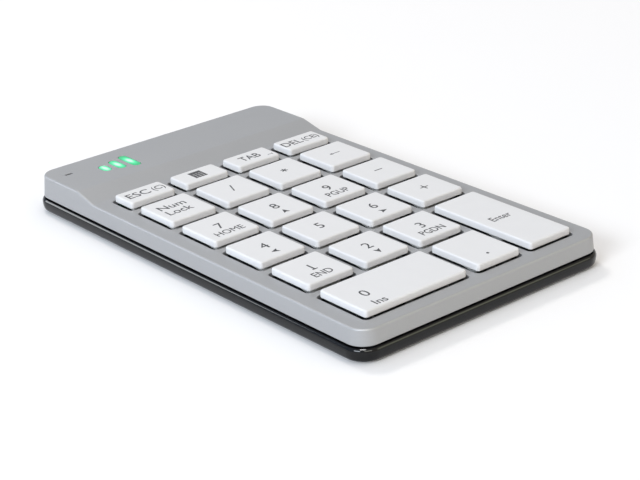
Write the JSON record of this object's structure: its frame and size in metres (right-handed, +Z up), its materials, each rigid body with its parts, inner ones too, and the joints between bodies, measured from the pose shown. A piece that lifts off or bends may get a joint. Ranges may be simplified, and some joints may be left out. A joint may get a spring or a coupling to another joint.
{
  "type": "numeric keypad",
  "caption": "Low-profile wireless numeric keypad with scissor-lifted flat keycaps, a raised rear hump, and a two-part case.",
  "frame": {"origin": "under the centre of the case, at the surface that the feet stand on", "axes": "+X along the key rows to the right, +Y to the rear edge with the hump, +Z up through the keycaps"},
  "size_m": [0.0862, 0.1432, 0.0111],
  "materials": {
    "silver_paint": "silver satin paint over moulded plastic",
    "black_gloss": "polished black",
    "keycap_white": "fine satin, printed legends",
    "plate_steel": "zinc plated",
    "scissor_plastic": "natural acetal",
    "membrane_black": "black film with bonded rubber domes",
    "board_green": "solder mask",
    "battery_foil": "pouch foil",
    "socket_nickel": "nickel plated",
    "dark_plastic": "glass-filled",
    "foot_rubber": "fine matt",
    "light_guide": "clear light guide, lit green",
    "indicator_smoke": "smoked"
  },
  "bodies": {
    "case": {"top_cover": "silver_paint", "bottom_cover": "black_gloss", "front_foot": "foot_rubber", "rear_foot": "foot_rubber", "support_plate": "plate_steel", "switch_membrane": "membrane_black", "circuit_board": "board_green", "battery": "battery_foil", "usb_socket": "socket_nickel", "switch_body": "dark_plastic", "light_window": "light_guide", "indicator_lens": "indicator_smoke", "scissor_escape": "scissor_plastic", "scissor_calculator": "scissor_plastic", "scissor_tab": "scissor_plastic", "scissor_delete": "scissor_plastic", "scissor_num_lock": "scissor_plastic", "scissor_divide": "scissor_plastic", "scissor_multiply": "scissor_plastic", "scissor_backspace": "scissor_plastic", "scissor_7": "scissor_plastic", "scissor_8": "scissor_plastic", "scissor_9": "scissor_plastic", "scissor_subtract": "scissor_plastic", "scissor_4": "scissor_plastic", "scissor_5": "scissor_plastic", "scissor_6": "scissor_plastic", "scissor_add": "scissor_plastic", "scissor_1": "scissor_plastic", "scissor_2": "scissor_plastic", "scissor_3": "scissor_plastic", "scissor_enter": "scissor_plastic", "scissor_0": "scissor_plastic", "scissor_decimal": "scissor_plastic"},
    "key_escape_cap": {"key_escape": "keycap_white"},
    "key_calculator_cap": {"key_calculator": "keycap_white"},
    "key_tab_cap": {"key_tab": "keycap_white"},
    "key_delete_cap": {"key_delete": "keycap_white"},
    "key_num_lock_cap": {"key_num_lock": "keycap_white"},
    "key_divide_cap": {"key_divide": "keycap_white"},
    "key_multiply_cap": {"key_multiply": "keycap_white"},
    "key_backspace_cap": {"key_backspace": "keycap_white"},
    "key_7_cap": {"key_7": "keycap_white"},
    "key_8_cap": {"key_8": "keycap_white"},
    "key_9_cap": {"key_9": "keycap_white"},
    "key_subtract_cap": {"key_subtract": "keycap_white"},
    "key_4_cap": {"key_4": "keycap_white"},
    "key_5_cap": {"key_5": "keycap_white"},
    "key_6_cap": {"key_6": "keycap_white"},
    "key_add_cap": {"key_add": "keycap_white"},
    "key_1_cap": {"key_1": "keycap_white"},
    "key_2_cap": {"key_2": "keycap_white"},
    "key_3_cap": {"key_3": "keycap_white"},
    "key_enter_cap": {"key_enter": "keycap_white"},
    "key_0_cap": {"key_0": "keycap_white"},
    "key_decimal_cap": {"key_decimal": "keycap_white"},
    "stabiliser_zero_wire": {"stabiliser_zero": "plate_steel"},
    "stabiliser_enter_wire": {"stabiliser_enter": "plate_steel"},
    "power_switch_knob": {"power_switch": "black_gloss"}
  },
  "joints": [
    {"name": "key_escape_press", "type": "slide", "parent": "case", "child": "key_escape_cap", "axis": [0, 0, -1], "range_m": [0, 0.0019], "stiffness_N_per_m": 275, "springref_m": -0.0008, "deforming": ["scissor_escape"]},
    {"name": "key_calculator_press", "type": "slide", "parent": "case", "child": "key_calculator_cap", "axis": [0, 0, -1], "range_m": [0, 0.0019], "stiffness_N_per_m": 275, "springref_m": -0.0008, "deforming": ["scissor_calculator"]},
    {"name": "key_tab_press", "type": "slide", "parent": "case", "child": "key_tab_cap", "axis": [0, 0, -1], "range_m": [0, 0.0019], "stiffness_N_per_m": 275, "springref_m": -0.0008, "deforming": ["scissor_tab"]},
    {"name": "key_delete_press", "type": "slide", "parent": "case", "child": "key_delete_cap", "axis": [0, 0, -1], "range_m": [0, 0.0019], "stiffness_N_per_m": 275, "springref_m": -0.0008, "deforming": ["scissor_delete"]},
    {"name": "key_num_lock_press", "type": "slide", "parent": "case", "child": "key_num_lock_cap", "axis": [0, 0, -1], "range_m": [0, 0.0019], "stiffness_N_per_m": 275, "springref_m": -0.0008, "deforming": ["scissor_num_lock"]},
    {"name": "key_divide_press", "type": "slide", "parent": "case", "child": "key_divide_cap", "axis": [0, 0, -1], "range_m": [0, 0.0019], "stiffness_N_per_m": 275, "springref_m": -0.0008, "deforming": ["scissor_divide"]},
    {"name": "key_multiply_press", "type": "slide", "parent": "case", "child": "key_multiply_cap", "axis": [0, 0, -1], "range_m": [0, 0.0019], "stiffness_N_per_m": 275, "springref_m": -0.0008, "deforming": ["scissor_multiply"]},
    {"name": "key_backspace_press", "type": "slide", "parent": "case", "child": "key_backspace_cap", "axis": [0, 0, -1], "range_m": [0, 0.0019], "stiffness_N_per_m": 275, "springref_m": -0.0008, "deforming": ["scissor_backspace"]},
    {"name": "key_7_press", "type": "slide", "parent": "case", "child": "key_7_cap", "axis": [0, 0, -1], "range_m": [0, 0.0019], "stiffness_N_per_m": 275, "springref_m": -0.0008, "deforming": ["scissor_7"]},
    {"name": "key_8_press", "type": "slide", "parent": "case", "child": "key_8_cap", "axis": [0, 0, -1], "range_m": [0, 0.0019], "stiffness_N_per_m": 275, "springref_m": -0.0008, "deforming": ["scissor_8"]},
    {"name": "key_9_press", "type": "slide", "parent": "case", "child": "key_9_cap", "axis": [0, 0, -1], "range_m": [0, 0.0019], "stiffness_N_per_m": 275, "springref_m": -0.0008, "deforming": ["scissor_9"]},
    {"name": "key_subtract_press", "type": "slide", "parent": "case", "child": "key_subtract_cap", "axis": [0, 0, -1], "range_m": [0, 0.0019], "stiffness_N_per_m": 275, "springref_m": -0.0008, "deforming": ["scissor_subtract"]},
    {"name": "key_4_press", "type": "slide", "parent": "case", "child": "key_4_cap", "axis": [0, 0, -1], "range_m": [0, 0.0019], "stiffness_N_per_m": 275, "springref_m": -0.0008, "deforming": ["scissor_4"]},
    {"name": "key_5_press", "type": "slide", "parent": "case", "child": "key_5_cap", "axis": [0, 0, -1], "range_m": [0, 0.0019], "stiffness_N_per_m": 275, "springref_m": -0.0008, "deforming": ["scissor_5", "switch_membrane"]},
    {"name": "key_6_press", "type": "slide", "parent": "case", "child": "key_6_cap", "axis": [0, 0, -1], "range_m": [0, 0.0019], "stiffness_N_per_m": 275, "springref_m": -0.0008, "deforming": ["scissor_6"]},
    {"name": "key_add_press", "type": "slide", "parent": "case", "child": "key_add_cap", "axis": [0, 0, -1], "range_m": [0, 0.0019], "stiffness_N_per_m": 275, "springref_m": -0.0008, "deforming": ["scissor_add"]},
    {"name": "key_1_press", "type": "slide", "parent": "case", "child": "key_1_cap", "axis": [0, 0, -1], "range_m": [0, 0.0019], "stiffness_N_per_m": 275, "springref_m": -0.0008, "deforming": ["scissor_1"]},
    {"name": "key_2_press", "type": "slide", "parent": "case", "child": "key_2_cap", "axis": [0, 0, -1], "range_m": [0, 0.0019], "stiffness_N_per_m": 275, "springref_m": -0.0008, "deforming": ["scissor_2"]},
    {"name": "key_3_press", "type": "slide", "parent": "case", "child": "key_3_cap", "axis": [0, 0, -1], "range_m": [0, 0.0019], "stiffness_N_per_m": 275, "springref_m": -0.0008, "deforming": ["scissor_3"]},
    {"name": "key_enter_press", "type": "slide", "parent": "case", "child": "key_enter_cap", "axis": [0, 0, -1], "range_m": [0, 0.0019], "stiffness_N_per_m": 275, "springref_m": -0.0008, "deforming": ["scissor_enter"]},
    {"name": "key_0_press", "type": "slide", "parent": "case", "child": "key_0_cap", "axis": [0, 0, -1], "range_m": [0, 0.0019], "stiffness_N_per_m": 275, "springref_m": -0.0008, "deforming": ["scissor_0"]},
    {"name": "key_decimal_press", "type": "slide", "parent": "case", "child": "key_decimal_cap", "axis": [0, 0, -1], "range_m": [0, 0.0019], "stiffness_N_per_m": 275, "springref_m": -0.0008, "deforming": ["scissor_decimal"]},
    {"name": "stabiliser_zero_turn", "type": "hinge", "parent": "case", "child": "stabiliser_zero_wire", "pos_m": [-0.019, -0.0635, 0.007], "axis": [-1, 0, 0], "range_deg": [0, 22.24]},
    {"name": "stabiliser_enter_turn", "type": "hinge", "parent": "case", "child": "stabiliser_enter_wire", "pos_m": [0.0345, -0.0473, 0.007], "axis": [0, -1, 0], "range_deg": [0, 22.24]},
    {"name": "power_switch_slide", "type": "slide", "parent": "case", "child": "power_switch_knob", "axis": [1, 0, 0], "range_m": [0, 0.0024]}
  ],
  "couplings": [
    {"joint": "stabiliser_zero_turn", "follows": "key_0_press", "rad_per_m": 203.84},
    {"joint": "stabiliser_enter_turn", "follows": "key_enter_press", "rad_per_m": 203.84}
  ]
}
